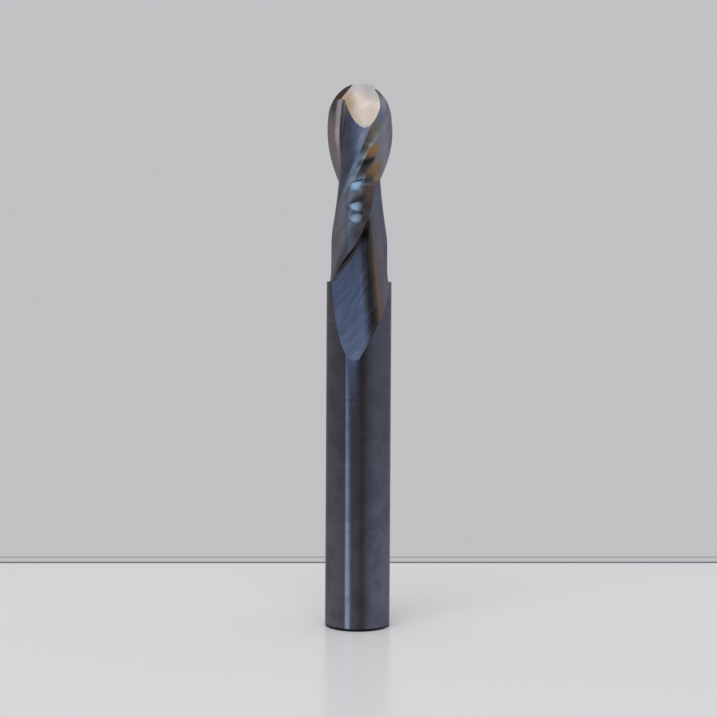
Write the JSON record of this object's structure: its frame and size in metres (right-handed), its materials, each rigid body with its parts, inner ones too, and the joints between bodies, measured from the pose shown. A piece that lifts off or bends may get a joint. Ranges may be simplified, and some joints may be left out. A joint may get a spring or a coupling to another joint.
{
  "type": "ball nose router bit",
  "caption": "Slim solid ball nose milling cutter with spiral flutes, a reduced neck and a plain round shank, standing tip up.",
  "frame": {"origin": "centre of the flat shank end, on the surface that the tool stands on", "axes": "+Z along the tool's axis from the shank end to the ball tip, -Y towards the side that shows the flute run-out"},
  "size_m": [0.006, 0.006, 0.05],
  "materials": {
    "ground_carbide": "dark ground cemented carbide, bright in the freshly ground gash facets"
  },
  "bodies": {
    "root": {"ball_nose_cutter": "ground_carbide"}
  },
  "joints": []
}
